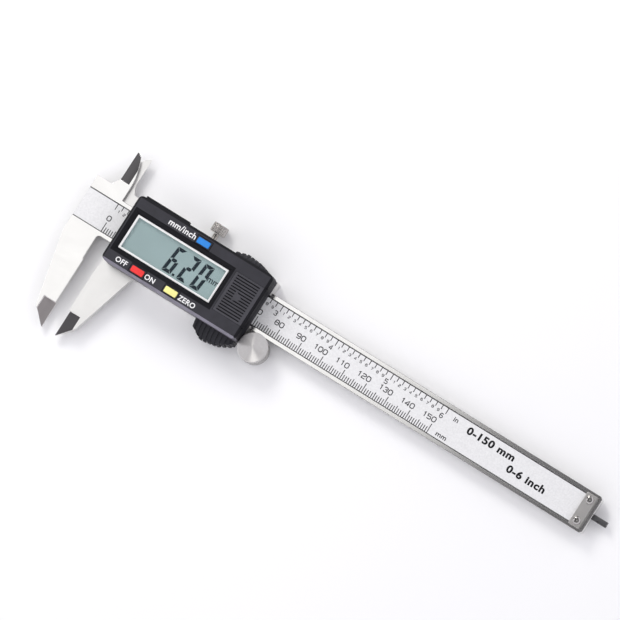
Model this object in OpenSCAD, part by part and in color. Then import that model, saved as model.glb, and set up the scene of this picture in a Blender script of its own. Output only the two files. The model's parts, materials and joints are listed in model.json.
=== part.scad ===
// Digital caliper, 150 mm range. Lies on its back: +X runs from the jaws to the depth rod,
// +Y towards the inside jaws, +Z up out of the display.
// Each sub-part is drawn from the fixed measuring face (x = 0) and the beam's centre line
// (y = 0). Sub-parts of the slider are drawn from the moving measuring face instead.

/* [Jaws] */
// Jaw opening in the modelled position
opening = 6.2; // [0:0.1:150]
// Reach of the outside jaws below the beam
outside_reach = 41; // [38:0.5:44]
// Reach of the inside jaws above the beam
inside_reach = 19.2; // [18:0.2:21]

/* [Beam] */
// Width of the beam
beam_w = 16; // [15.8:0.1:16.1]
// Thickness of the beam and of the outside jaws
beam_t = 3.5; // [3.4:0.1:3.6]
// Distance from the fixed measuring face to the beam's far end
beam_end = 222; // [221:1:235]
// Width of the head, left of the fixed measuring face
head_w = 13.2; // [12.6:0.1:13.6]

/* [Slider] */
// Length of the plastic housing
case_l = 61.9; // [61.5:0.1:62.4]
// Height of the housing's front face above the lying surface
case_top = 14.8; // [14.8:0.1:15.4]
// Thickness of the steel behind the beam
back_t = 1.6; // [1.6:0.05:1.7]
// Diameter of the thumb roller
roller_d = 12; // [11.6:0.1:12.2]
// Diameter of the lock screw's knurled head
lock_head_d = 6.4; // [5.6:0.1:6.6]

/* [Display] */
// Length of the white display frame
lcd_l = 41.7; // [40:0.1:41.7]
// Height of the white display frame
lcd_h = 14.6; // [13.6:0.1:14.6]

/* [Hidden] */
$fn = 64;
slip = 0.05;                        // sliding clearance on each side
eps = 0.01;                         // overlap that joins or cuts cleanly

// Beam levels and edges
beam_z0 = back_t + slip;
beam_z1 = beam_z0 + beam_t;
mid_z = (beam_z0 + beam_z1) / 2;
edge_y = beam_w / 2;
tip_y = -edge_y - outside_reach;
inside_tip_y = edge_y + inside_reach;
mid_x = (beam_end + opening - head_w) / 2;
mid_y = (tip_y + inside_tip_y) / 2;

// Jaw shapes
relief = 0.4;                       // step back of the faces near the beam
relief_y = -18.7;
heel_x = 6.1;
heel_y = tip_y + 6;
fixed_shoulder_y = -12.7;
moving_root_w = 14.2;
moving_shoulder_y = -15.6;
head_top = 11.6;
head_step_x = -10.6;                // full thickness left of here, front half to the right
inside_edge_x = -4.8;               // both inside edges meet here when closed
inside_root_x = 0.6;
inside_bend_y = 13.5;
inside_bend_r = 26.8;
inside_bend_angle = 28;
knife_w = 5.2;                      // width of the ground facet on the outside jaws
knife_l = 10.7;
half_gap = 0.1;                     // between the two overlapping inside jaws
facet_y = 14.6;                     // foot of the ground facet on the inside jaws
facet_w = 4.2;

// Channel, ruler and rod in the beam
strip_w = 12.7;
recess_d = 0.5;
strip_t = 0.3;
label_t = 0.15;
label_side_gap = 0.1;
rod_w = 2.2;
rod_t = 1.6;
rod_start = 32;
rod_groove_w = 2.8;
rod_groove_d = 1.9;
end_chamfer = 0.8;

// End stop
stop_l = 4.7;
stop_w = 14;
stop_t = 1;
stop_x = beam_end - 6.3;
stop_screw_y = 4.6;
stop_head_d = 3.4;

// Slider frame
frame_l = 2;                        // left end of the channel
frame_r = 63.5;
frame_top = 12.5;
frame_bottom = -15.2;
rail_z = 6.2;
lip_y = 6.9;
gib_t = 0.87;
gib_room = 0.95;
gib_l = 57;
gib_x = 4;
gib_screw_x = [16, 48.6];
grub_d = 2;
label_recess = 0.3;
arm_w = 6;

// Housing
case_l0 = 1.4;                      // left wall of the housing
case_r = case_l0 + case_l;
case_y0 = -15.4;
case_y1 = 13.3;
case_split_z = 9.4;                 // joint between lower case and front cover
case_wall = 1.3;
case_roof = 1.4;
case_chamfer = 1;
case_round = 2.2;
skirt_t = 0.5;
skirt_z = 5.5;
boss_r = 2.1;
screw_x = [5.8, 59.2];
screw_y = [-12.2, 10.4];
screw_r = 0.8;
board_screw_x = [24, 44];
board_screw_y = [-10.6, 10.2];
roof_z = case_top - case_roof;      // underside of the front wall

// Grips on the lower case
grip_z0 = 1.8;
rib_step = 1.9;
rib_l = 0.95;
rib_depth = 0.7;

// Display stack
lcd_x = 25.8;
lcd_y = -1.1;
bezel_z = case_top - 1;
bezel_flange = 1.1;
bezel_edge = 0.75;
window_t = 0.6;
panel_t = 1.6;
panel_z = roof_z - 0.6 - panel_t;
board_t = 1;
board_z = rail_z + board_t;

// Buttons
button_l = 5.4;
button_w = 2.4;
button_travel = 0.45;
button_proud = 0.4;
button_gap = 0.12;
dome_t = 0.5;
mm_inch_at = [32.7, 10];
on_off_at = [16.8, -12.5];
zero_at = [32.2, -12.5];

// Battery bay
cell_d = 11.6;
cell_t = 5.4;
cell_at = [55.8, -1.1];
cell_z = board_z + 0.5;
door_x = 49.5;
door_y0 = -9.6;
door_y1 = 7.4;
door_gap = 0.1;
tongue_w = 0.6;
tongue_t = 0.5;
rail_w = 1.8;                       // bay rail beyond the tongue groove
door_ribs = 13;

// Data port
port_x = 2.7;
port_l = 19.7;
port_travel = 12.5;
port_proud = 1.05;
port_z = 7.95;                      // middle of the port and of its cover
port_h = 2.6;
port_hole = [8.3, 14.9];
foot_h = 1.6;                       // foot of the cover, held in the wall's T-slot
foot_t = 0.5;
neck_h = 0.9;
neck_t = 0.45;
foot_gap = 0.08;

// Thumb roller and lock screw
roller_at = [69.4, -edge_y - roller_d / 2 + 0.3];
hub_r = -edge_y - roller_at[1] - 0.02;
disc_z = beam_z1 + 0.3;
disc_t = 3.2;
axle_r = 1.2;
washer_t = 0.3;
lock_x = 32.3;
lock_r = 1.2;
pad_r = 1.1;
pad_y = edge_y + 0.3;
shank_y = 10.4;
lock_head_y = 16.4;
lock_head_l = 3.7;

// ---------- helpers ----------

// Puts a sub-part of the beam, drawn from the fixed measuring face, in its place
module on_beam() {
    translate([-mid_x, -mid_y, 0]) children();
}

// Puts a sub-part of the slider, drawn from the moving measuring face, in its place
module on_slider() {
    translate([opening - mid_x, -mid_y, 0]) children();
}

function unit(v) = v / norm(v);

// Points of the arc that rounds corner b, between a and c
function corner(a, b, c, r, steps = 8) =
    let (u = unit(a - b), v = unit(c - b), half = acos(u * v) / 2)
    let (middle = b + unit(u + v) * r / sin(half), reach = r / tan(half))
    let (p = b + u * reach - middle, q = b + v * reach - middle)
    let (start = atan2(p[1], p[0]), turn = (atan2(q[1], q[0]) - start + 540) % 360 - 180)
    [for (i = [0 : steps]) middle + r * [cos(start + turn * i / steps), sin(start + turn * i / steps)]];

// Outline from [x, y, corner radius] triples
function rounded(points) = [for (i = [0 : len(points) - 1])
    let (n = len(points), a = points[(i + n - 1) % n], b = points[i], c = points[(i + 1) % n])
    each (b[2] == 0 ? [[b[0], b[1]]]
        : corner([a[0], a[1]], [b[0], b[1]], [c[0], c[1]], b[2]))];

// Box between two corners
module block(low, high) {
    translate(low) cube(high - low);
}

// Flat plate with round corners
module plate(low, high, z0, z1, r) {
    translate([0, 0, z0]) linear_extrude(z1 - z0)
        polygon(rounded([[low[0], low[1], r], [high[0], low[1], r],
            [high[0], high[1], r], [low[0], high[1], r]]));
}

// Profile in Y and Z, drawn out along X
module along_x(x0, x1) {
    translate([x0, 0, 0]) rotate([90, 0, 90]) linear_extrude(x1 - x0) children();
}

// Profile in X and Z, drawn out along Y
module along_y(y0, y1) {
    translate([0, y1, 0]) rotate([90, 0, 0]) linear_extrude(y1 - y0) children();
}

// Rod along Y
module rod_y(r, y0, y1) {
    translate([0, y0, 0]) rotate([-90, 0, 0]) cylinder(r = r, h = y1 - y0);
}

// Copies at every pair of the given x and y
module at_corners(xs, ys) {
    for (x = xs, y = ys) translate([x, y, 0]) children();
}

// ---------- jaws ----------

// Inside jaw seen from the front, on a base whose top is at base_y
module inside_jaw_outline(base_y) {
    bend = [for (a = [0 : 4 : inside_bend_angle])
        [inside_root_x - inside_bend_r * (1 - cos(a)), inside_bend_y + inside_bend_r * sin(a)]];
    polygon(concat([[head_step_x, edge_y - 1], [inside_root_x, edge_y - 1]], bend,
        [[inside_edge_x + 0.3, inside_tip_y], [inside_edge_x, inside_tip_y],
         [inside_edge_x, base_y + 4.2], [inside_edge_x - 0.5, base_y + 2],
         [inside_edge_x - 1.7, base_y], [head_step_x, base_y]]));
}

// Wedge that grinds the inside jaw's front to a thin edge
module inside_facet() {
    along_y(facet_y, inside_tip_y + 1)
        polygon([[inside_edge_x - 1, mid_z + 0.1], [inside_edge_x, mid_z + 0.45],
            [inside_edge_x + facet_w, beam_z1], [inside_edge_x + facet_w, beam_z1 + 1],
            [inside_edge_x - 1, beam_z1 + 1]]);
}

// Wedge that grinds the front of an outside jaw's tip; the jaw extends towards +X
module outside_facet() {
    along_y(tip_y - 1, tip_y + knife_l)
        polygon([[-1, beam_z1 - 2.4], [0, beam_z1 - 2.4], [knife_w, beam_z1 - 0.6],
            [knife_w, beam_z1 + 1], [-1, beam_z1 + 1]]);
}

// ---------- beam assembly ----------

module beam() {
    color("#cfd1d4") on_beam() difference() {
        union() {
            translate([0, 0, beam_z0]) linear_extrude(beam_t) polygon(rounded([
                [-head_w, head_top, 0.4], [-head_w, fixed_shoulder_y, 12],
                [-heel_x, heel_y, 1.5], [-0.3, tip_y, 0], [0, tip_y, 0],
                [0, relief_y, 0], [-relief, relief_y, 0], [-relief, -edge_y, 1.2],
                [beam_end - end_chamfer, -edge_y, 0], [beam_end, -edge_y + end_chamfer, 0],
                [beam_end, edge_y - end_chamfer, 0], [beam_end - end_chamfer, edge_y, 0],
                [head_step_x, edge_y, 0], [head_step_x, head_top, 0]]));
            translate([0, 0, mid_z + half_gap / 2])
                linear_extrude(beam_z1 - mid_z - half_gap / 2) inside_jaw_outline(head_top);
        }
        mirror([1, 0, 0]) outside_facet();
        inside_facet();
        // channel for the strip and the label
        block([-head_w - 1, -strip_w / 2, beam_z1 - recess_d],
            [beam_end + 1, strip_w / 2, beam_z1 + 1]);
        // groove for the depth rod
        block([rod_start - 10, -rod_groove_w / 2, beam_z0 - 1],
            [beam_end + 1, rod_groove_w / 2, beam_z0 + rod_groove_d]);
        for (side = [-1, 1]) translate([stop_x + stop_l / 2, side * stop_screw_y, beam_z0 + 0.5])
            cylinder(r = screw_r, h = beam_t);
    }
}

module scale_strip() {
    color("#4d6b3c") on_beam()
        block([-head_w + 0.2, -strip_w / 2 + label_side_gap, beam_z1 - recess_d],
            [stop_x - 0.2, strip_w / 2 - label_side_gap, beam_z1 - recess_d + strip_t]);
}

module scale_label() {
    color("#e4e5e7") on_beam()
        block([-head_w + 0.2, -strip_w / 2 + label_side_gap, beam_z1 - recess_d + strip_t],
            [stop_x - 0.2, strip_w / 2 - label_side_gap, beam_z1 - recess_d + strip_t + label_t]);
}

module end_stop_plate() {
    color("#c9c6c3") on_beam() difference() {
        union() {
            plate([stop_x, -stop_w / 2], [stop_x + stop_l, stop_w / 2],
                beam_z1, beam_z1 + stop_t, 0.4);
            block([stop_x, -strip_w / 2 + label_side_gap, beam_z1 - recess_d],
                [stop_x + stop_l, strip_w / 2 - label_side_gap, beam_z1 + eps]);
        }
        for (side = [-1, 1]) translate([stop_x + stop_l / 2, side * stop_screw_y, beam_z0])
            cylinder(r = screw_r, h = beam_t + 2 * stop_t);
    }
}

module end_stop_screws() {
    head_r = stop_head_d / 2;
    dome_r = 2.2;
    dome_z = beam_z1 + stop_t;
    color("#b9b4ae") on_beam()
        for (side = [-1, 1]) translate([stop_x + stop_l / 2, side * stop_screw_y, 0]) difference() {
            union() {
                translate([0, 0, beam_z0 + 0.6]) cylinder(r = screw_r, h = dome_z - beam_z0 - 0.5);
                intersection() {
                    translate([0, 0, dome_z]) cylinder(r = head_r, h = 1);
                    translate([0, 0, dome_z + 0.9 - dome_r]) sphere(r = dome_r);
                }
            }
            for (turn = [0, 90]) rotate([0, 0, turn])
                block([-1, -0.2, dome_z + 0.45], [1, 0.2, dome_z + 2]);
        }
}

// ---------- slider: steel ----------

module slider_frame() {
    arm_y = roller_at[1];
    color("#c6c8cb") on_slider() difference() {
        union() {
            block([frame_l, frame_bottom, 0], [frame_r, frame_top, rail_z]);
            // outside jaw
            translate([0, 0, beam_z0]) linear_extrude(beam_t) polygon(rounded([
                [0, tip_y, 0], [0.3, tip_y, 0], [heel_x, heel_y, 1.5],
                [moving_root_w, moving_shoulder_y, 0], [moving_root_w, -edge_y - 1, 0],
                [relief, -edge_y - slip, 0], [relief, relief_y, 0], [0, relief_y, 0]]));
            // inside jaw and its base, in the back half of the thickness
            translate([0, 0, beam_z0]) linear_extrude(mid_z - half_gap / 2 - beam_z0) {
                translate([2 * inside_edge_x, 0]) mirror([1, 0]) inside_jaw_outline(frame_top - 0.2);
                polygon([[inside_edge_x, edge_y + slip], [frame_l + 1, edge_y + slip],
                    [frame_l + 1, frame_top - 0.2], [inside_edge_x, frame_top - 0.2]]);
            }
            // arm that carries the roller
            block([frame_r - 6, arm_y - arm_w / 2 + 1.5, 0], [roller_at[0], arm_y + arm_w / 2, back_t]);
            translate([roller_at[0], arm_y, 0]) cylinder(r = arm_w / 2 + 0.6, h = back_t);
        }
        // channel for the beam
        block([-head_w, -edge_y - slip, beam_z0 - slip], [frame_r + 1, edge_y + slip, beam_z1 + slip]);
        block([frame_l - 1, -lip_y, mid_z], [frame_r + 1, lip_y, rail_z + 1]);
        // pocket for the gib
        block([gib_x - 0.2, 0, beam_z0 - slip], [gib_x + gib_l + 0.2, edge_y + gib_room, beam_z1 + slip]);
        outside_facet();
        translate([2 * inside_edge_x, 0, 2 * mid_z]) rotate([0, 180, 0]) inside_facet();
        // room for the roller, and the bore for its axle
        translate([roller_at[0], arm_y, back_t]) cylinder(r = roller_d / 2 + 0.35, h = rail_z);
        translate([roller_at[0], arm_y, -1]) cylinder(r = axle_r, h = back_t + 2);
        // recess for the rear label
        block([frame_l + 1.5, frame_bottom + 1.2, -1], [frame_r - 1.5, frame_top - 0.6, label_recess]);
        // countersunk holes for the housing screws
        at_corners(screw_x, screw_y) {
            cylinder(r = screw_r, h = rail_z + 1);
            cylinder(r1 = screw_r + 0.5 + label_recess, r2 = screw_r, h = 0.5 + label_recess);
        }
        at_corners(board_screw_x, board_screw_y) translate([0, 0, rail_z - 2.4])
            cylinder(r = 0.6, h = 3);
        for (x = gib_screw_x) translate([x, 0, mid_z]) rod_y(grub_d / 2, edge_y, frame_top + 1);
        translate([lock_x, 0, mid_z]) rod_y(lock_r + slip, edge_y, frame_top + 1);
        translate([rod_start + 2, 0, -1]) cylinder(r = screw_r, h = back_t + 2);
    }
}

module gib_strip() {
    color("#c79a4b") on_slider() difference() {
        block([gib_x, edge_y + 0.03, beam_z0 + 0.15],
            [gib_x + gib_l, edge_y + 0.03 + gib_t, beam_z1 - 0.15]);
        translate([lock_x, 0, mid_z]) rod_y(pad_r + 0.1, edge_y - 1, edge_y + 2);
    }
}

module gib_set_screws() {
    color("#6d6f73") on_slider() for (x = gib_screw_x) translate([x, 0, mid_z]) difference() {
        rod_y(grub_d / 2, edge_y + 0.03 + gib_t, frame_top - 0.6);
        block([-0.2, frame_top - 1.3, -2], [0.2, frame_top, 2]);
    }
}

module depth_rod() {
    color("#5c5c5e") on_slider() difference() {
        block([rod_start, -rod_w / 2, back_t], [beam_end, rod_w / 2, back_t + rod_t]);
        translate([rod_start + 2, 0, 0]) cylinder(r = screw_r, h = 5);
        // step at the tip, for narrow holes
        block([beam_end - 4, -rod_w, back_t + 0.9], [beam_end + 1, -rod_w / 2 + 0.8, 9]);
    }
}

module depth_rod_pin() {
    color("#9b9b9e") on_slider() translate([rod_start + 2, 0, label_recess])
        cylinder(r = screw_r, h = back_t + rod_t - label_recess);
}

module roller_axle() {
    color("#a9abae") on_slider() translate([roller_at[0], roller_at[1], 0])
        cylinder(r = axle_r, h = disc_z + 0.8);
}

module roller_washer() {
    color("#b7a06a") on_slider() translate([roller_at[0], roller_at[1], back_t]) difference() {
        cylinder(r = 3, h = washer_t);
        translate([0, 0, -1]) cylinder(r = 1.5, h = 3);
    }
}

// ---------- slider: plastic housing ----------

// Housing outline, taken in by the given distance
module case_outline(inset = 0) {
    r = max(case_round - inset, 0.8);
    polygon(rounded([[case_l0 + inset, case_y0 + inset, r], [case_r - inset, case_y0 + inset, r],
        [case_r - inset, case_y1 - inset, r], [case_l0 + inset, case_y1 - inset, r]]));
}

// Housing block with chamfered front edges, from z0 up
module case_block(z0) {
    c = case_chamfer;
    intersection() {
        translate([0, 0, z0]) linear_extrude(case_top - z0) case_outline();
        along_x(case_l0, case_r) polygon([[case_y0, 0], [case_y1, 0], [case_y1, case_top - c],
            [case_y1 - c, case_top], [case_y0 + c, case_top], [case_y0, case_top - c]]);
        along_y(case_y0, case_y1) polygon([[case_l0, 0], [case_r, 0], [case_r, case_top - c],
            [case_r - c, case_top], [case_l0 + c, case_top], [case_l0, case_top - c]]);
    }
}

// Room that the roller needs in the housing
module roller_room() {
    translate([roller_at[0], roller_at[1], back_t])
        cylinder(r = roller_d / 2 + 0.35, h = disc_z + disc_t - back_t + 0.4);
}

// Grip seen from the front; depth is how far it stands out of the wall, trimmed by the inset
module grip_outline(x0, x1, depth, inset) {
    polygon(rounded([[x0 + inset, -1, 0], [x0 + inset, depth * 0.45 - inset, 1],
        [x0 + (x1 - x0) * 0.28, depth - inset, 2.5], [x1 - (x1 - x0) * 0.35, depth * 0.8 - inset, 2.5],
        [x1 - inset, depth * 0.25, 0], [x1 - inset, -1, 0]]));
}

// Grip with a sloping top, in ribs across its length
module grip(x0, x1, depth, z1) {
    module body(inset) {
        intersection() {
            translate([0, 0, grip_z0]) linear_extrude(z1 - grip_z0)
                grip_outline(x0, x1, depth, inset);
            along_x(x0, x1) polygon([[0, grip_z0], [0, rail_z], [-0.4, rail_z], [-0.4, z1],
                [0, z1 - inset * 0.6],
                [depth * 0.45, z1 - 1.3 - inset * 0.6], [depth * 0.8, z1 - 3.6 - inset * 0.6],
                [depth + 1, z1 - 6 - inset], [depth + 1, grip_z0]]);
        }
    }
    body(rib_depth);
    for (x = [x0 + rib_l : rib_step : x1 - rib_l]) intersection() {
        body(0);
        block([x, -2, 0], [x + rib_l, depth + 2, z1]);
    }
}

module lower_case() {
    foot_y1 = case_y1 - neck_t + foot_gap;
    color("#26252b") on_slider() difference() {
        union() {
            difference() {
                translate([0, 0, rail_z]) linear_extrude(case_split_z - rail_z) case_outline();
                translate([0, 0, rail_z - 1]) linear_extrude(case_split_z) case_outline(case_wall);
            }
            // skirt that closes the gap over the beam at the jaw end
            block([case_l0, case_y0 + case_round, skirt_z],
                [case_l0 + skirt_t, case_y1 - case_round, rail_z + eps]);
            at_corners(screw_x, screw_y) translate([0, 0, rail_z])
                cylinder(r = boss_r, h = case_split_z - rail_z);
            translate([0, frame_top + slip, 0]) grip(42.6, 60.4, 3.5, case_split_z - 0.6);
            translate([0, frame_bottom - slip, 0]) mirror([0, 1, 0])
                grip(43.8, 62.6, 6.3, case_split_z);
        }
        at_corners(screw_x, screw_y) cylinder(r = screw_r, h = case_top);
        // T-slot of the port cover, and the port itself
        block([port_x + 0.2, case_y1 - 1, port_z - neck_h / 2 - foot_gap],
            [port_x + port_l + port_travel, case_y1 + 1, port_z + neck_h / 2 + foot_gap]);
        block([port_x + 0.2, foot_y1 - foot_t - 2 * foot_gap, port_z - foot_h / 2 - foot_gap],
            [port_x + port_l + port_travel, foot_y1, port_z + foot_h / 2 + foot_gap]);
        block([port_hole[0], case_y1 - case_wall - 1, port_z - neck_h / 2 - foot_gap],
            [port_hole[1], case_y1, port_z + neck_h / 2 + foot_gap]);
        roller_room();
    }
}

module front_cover() {
    lcd_low = [lcd_x - lcd_l / 2 - 0.1, lcd_y - lcd_h / 2 - 0.1];
    lcd_high = [lcd_x + lcd_l / 2 + 0.1, lcd_y + lcd_h / 2 + 0.1];
    bevel = 1.1;
    groove_z1 = roof_z + 0.1 + tongue_t + 0.1;
    color("#2c2b32") on_slider() difference() {
        union() {
            difference() {
                case_block(case_split_z);
                translate([0, 0, case_split_z - 1]) linear_extrude(roof_z - case_split_z + 1)
                    case_outline(case_wall);
            }
            at_corners(screw_x, screw_y) translate([0, 0, case_split_z])
                cylinder(r = boss_r, h = roof_z - case_split_z + eps);
            // battery bay: end wall and the two door rails
            block([door_x - 1.3, door_y0 - rail_w, case_split_z], [door_x, door_y1 + rail_w, roof_z + eps]);
            for (rail = [[door_y0 - rail_w, door_y0 + 1.2], [door_y1 - 1.2, door_y1 + rail_w]])
                block([door_x - eps, rail[0], roof_z - 0.8], [case_r - case_wall + eps, rail[1], roof_z + eps]);
        }
        // display opening with sloping sides
        intersection() {
            along_y(lcd_low[1] - bevel, lcd_high[1] + bevel) polygon([[lcd_low[0], roof_z - 1],
                [lcd_low[0], bezel_z], [lcd_low[0] - bevel, case_top], [lcd_low[0] - bevel, case_top + 1],
                [lcd_high[0] + bevel, case_top + 1], [lcd_high[0] + bevel, case_top],
                [lcd_high[0], bezel_z], [lcd_high[0], roof_z - 1]]);
            along_x(lcd_low[0] - bevel, lcd_high[0] + bevel) polygon([[lcd_low[1], roof_z - 1],
                [lcd_low[1], bezel_z], [lcd_low[1] - bevel, case_top], [lcd_low[1] - bevel, case_top + 1],
                [lcd_high[1] + bevel, case_top + 1], [lcd_high[1] + bevel, case_top],
                [lcd_high[1], bezel_z], [lcd_high[1], roof_z - 1]]);
        }
        for (at = [mm_inch_at, on_off_at, zero_at]) translate([at[0], at[1], roof_z - 1])
            plate([-button_l / 2 - button_gap, -button_w / 2 - button_gap],
                [button_l / 2 + button_gap, button_w / 2 + button_gap], 0, 4, 0.5);
        // door opening, tongue grooves and the well for the cell
        block([door_x, door_y0 - door_gap, roof_z], [case_r + 1, door_y1 + door_gap, case_top + 1]);
        block([door_x, door_y0 - tongue_w - 2 * door_gap, roof_z],
            [case_r + 1, door_y1 + tongue_w + 2 * door_gap, groove_z1]);
        at_corners(screw_x, screw_y) translate([0, 0, case_split_z - 1]) cylinder(r = 0.65, h = 4);
        roller_room();
    }
}

module housing_screws() {
    head_t = 0.5;
    color("#8c8d90") on_slider() at_corners(screw_x, screw_y) translate([0, 0, label_recess])
        difference() {
            union() {
                cylinder(r1 = screw_r + head_t, r2 = screw_r, h = head_t);
                cylinder(r = screw_r, h = case_split_z - label_recess);
                cylinder(r = 0.65, h = case_split_z - label_recess + 2.5);
            }
            for (turn = [0, 90]) rotate([0, 0, turn]) block([-0.8, -0.15, -1], [0.8, 0.15, 0.3]);
        }
}

module rear_label() {
    color("#b9bcc0") on_slider()
        block([frame_l + 1.6, frame_bottom + 1.3, 0.1], [frame_r - 1.6, frame_top - 0.7, label_recess]);
}

// ---------- slider: electronics ----------

module lcd_bezel() {
    low = [lcd_x - lcd_l / 2, lcd_y - lcd_h / 2];
    high = [lcd_x + lcd_l / 2, lcd_y + lcd_h / 2];
    color("#f4f4f2") on_slider() difference() {
        union() {
            block([low[0], low[1], roof_z - 0.6], [high[0], high[1], bezel_z]);
            block([low[0] - bezel_flange, low[1] - bezel_flange, roof_z - 0.6],
                [high[0] + bezel_flange, high[1] + bezel_flange, roof_z]);
        }
        block([low[0] + bezel_edge, low[1] + bezel_edge, 0],
            [high[0] - bezel_edge, high[1] - bezel_edge, case_top]);
    }
}

module lcd_window() {
    inset = bezel_edge;
    color("#d5dfe0") on_slider() translate([lcd_x, lcd_y, roof_z - 0.5])
        block([-lcd_l / 2 + inset, -lcd_h / 2 + inset, 0], [lcd_l / 2 - inset, lcd_h / 2 - inset, window_t]);
}

module lcd_panel() {
    color("#a3b5b5") on_slider() translate([lcd_x, lcd_y, panel_z])
        block([-lcd_l / 2 - 0.2, -lcd_h / 2 - 0.4, 0], [lcd_l / 2 + 0.2, lcd_h / 2 + 0.4, panel_t]);
}

module zebra_strips() {
    strip_l = 38;
    color("#3c3c40") on_slider() for (side = [-1, 1])
        translate([lcd_x, lcd_y + side * (lcd_h / 2 - 0.6), 0])
            block([-strip_l / 2, -0.7, board_z], [strip_l / 2, 0.7, panel_z]);
}

module circuit_board() {
    margin = case_wall + 0.3;
    color("#2f6b45") on_slider() difference() {
        translate([0, 0, rail_z]) linear_extrude(board_t) difference() {
            case_outline(margin);
            at_corners(screw_x, screw_y) circle(r = boss_r + 0.25);
            at_corners(board_screw_x, board_screw_y) circle(r = 0.6);
        }
        roller_room();
    }
}

module sensor_board() {
    color("#3d7a52") on_slider() block([frame_l + 2, -lip_y + 0.2, beam_z1 + 0.25],
        [frame_r - 1.5, lip_y - 0.2, rail_z]);
}

module board_screws() {
    color("#b5b7ba") on_slider() at_corners(board_screw_x, board_screw_y) difference() {
        union() {
            translate([0, 0, rail_z - 2.4]) cylinder(r = 0.6, h = board_t + 2.5);
            translate([0, 0, board_z]) cylinder(r = 1.2, h = 0.6);
        }
        for (turn = [0, 90]) rotate([0, 0, turn])
            block([-0.8, -0.15, board_z + 0.3], [0.8, 0.15, board_z + 2]);
    }
}

module chip_cover() {
    dome_r = 6;
    color("#151517") on_slider() intersection() {
        translate([lcd_x - 6, lcd_y, board_z + 1.3 - dome_r]) sphere(r = dome_r);
        translate([lcd_x - 6, lcd_y, board_z]) cylinder(r = 5, h = 2);
    }
}

module dome_switches() {
    color("#c8b27a") on_slider() for (at = [mm_inch_at, on_off_at, zero_at])
        translate([at[0], at[1], board_z]) cylinder(r1 = 1.5, r2 = 1, h = dome_t);
}

module port_contacts() {
    color("#d8b24c") on_slider() for (i = [0 : 3])
        translate([port_hole[0] + 0.7 + i * 1.5, case_y1 - case_wall - 2.6, board_z])
            block([0, 0, 0], [0.8, 2.4, 1.1]);
}

module battery_contact_plus() {
    x = cell_at[0] + cell_d / 2;
    color("#cfd0d2") on_slider()
        block([x, cell_at[1] - 2.5, board_z], [x + 0.3, cell_at[1] + 2.5, cell_z + 4]);
}

module battery_contact_minus() {
    color("#cfd0d2") on_slider() translate([cell_at[0], cell_at[1], board_z])
        cylinder(r1 = 4, r2 = 2.5, h = cell_z - board_z);
}

module battery_cell() {
    lip = 0.25;
    color("#dcdde0") on_slider() translate([cell_at[0], cell_at[1], cell_z]) {
        cylinder(r = cell_d / 2 - 0.9, h = cell_t);
        translate([0, 0, lip]) cylinder(r = cell_d / 2, h = cell_t - lip);
    }
}

// ---------- pieces that move on the slider ----------

module thumb_roller() {
    crown = 0.25;
    color("#d6d3cd") on_slider() translate([roller_at[0], roller_at[1], 0]) difference() {
        union() {
            translate([0, 0, back_t + washer_t + 0.02]) cylinder(r = hub_r, h = disc_z - back_t);
            translate([0, 0, disc_z]) cylinder(r = roller_d / 2, h = disc_t - crown);
            translate([0, 0, disc_z + disc_t - crown])
                cylinder(r1 = roller_d / 2, r2 = roller_d / 2 - 0.6, h = crown);
        }
        cylinder(r = axle_r + slip, h = disc_z + 1.2);
    }
}

module lock_pad() {
    color("#c79a4b") on_slider() translate([lock_x, 0, mid_z]) rod_y(pad_r, pad_y, shank_y);
}

module lock_screw() {
    color("#cbc8c2") on_slider() translate([lock_x, 0, mid_z]) {
        rod_y(lock_r, shank_y, lock_head_y + eps);
        rod_y(lock_head_d / 2, lock_head_y, lock_head_y + lock_head_l);
    }
}

// Button with its flange under the cover and its stem above the switch dome
module button_at(at) {
    flange_z = roof_z - 0.8;
    stem_z = board_z + dome_t + button_travel + 0.1;
    on_slider() translate([at[0], at[1], 0]) {
        plate([-button_l / 2, -button_w / 2], [button_l / 2, button_w / 2],
            flange_z, case_top + button_proud, 0.4);
        block([-button_l / 2 - 0.4, -button_w / 2 - 0.25, flange_z],
            [button_l / 2 + 0.4, button_w / 2 + 0.25, flange_z + 0.7]);
        translate([0, 0, stem_z]) cylinder(r = 1, h = flange_z - stem_z + eps);
    }
}

module button_mm_inch() {
    color("#2f87d6") button_at(mm_inch_at);
}

module button_on_off() {
    color("#ec3f3c") button_at(on_off_at);
}

module button_zero() {
    color("#efea9c") button_at(zero_at);
}

module battery_cover() {
    rib_pitch = (door_y1 - door_y0 - 2) / door_ribs;
    arrow_at = [door_x + 4.2, (door_y0 + door_y1) / 2];
    color("#26252c") on_slider() {
        intersection() {
            case_block(roof_z + 0.05);
            difference() {
                block([door_x + door_gap, door_y0, roof_z + 0.05], [case_r + 1, door_y1, case_top + 1]);
                for (i = [0 : door_ribs])
                    block([door_x + 1.2, door_y0 + 0.75 + i * rib_pitch, case_top - 0.35],
                        [case_r - 2.4, door_y0 + 1.25 + i * rib_pitch, case_top + 1]);
            }
        }
        // arrow that shows which way the door slides
        translate([arrow_at[0], arrow_at[1], case_top - 0.5]) linear_extrude(0.5)
            polygon([[0, -2.2], [3.8, 0], [0, 2.2]]);
        // tongues that run in the cover's grooves
        block([door_x + 0.6, door_y0 - tongue_w, roof_z + 0.1],
            [case_r - 0.6, door_y1 + tongue_w, roof_z + 0.1 + tongue_t]);
    }
}

module port_cover() {
    plate_y = case_y1 + slip;
    foot_y = case_y1 - neck_t;
    color("#222127") on_slider() translate([0, 0, port_z]) {
        block([port_x, plate_y, -port_h / 2], [port_x + port_l, plate_y + port_proud, port_h / 2]);
        block([port_hole[1] + 0.4, foot_y - eps, -neck_h / 2],
            [port_x + port_l - 0.2, plate_y + eps, neck_h / 2]);
        block([port_hole[1] + 0.4, foot_y - foot_t, -foot_h / 2],
            [port_x + port_l - 0.2, foot_y, foot_h / 2]);
    }
}

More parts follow.
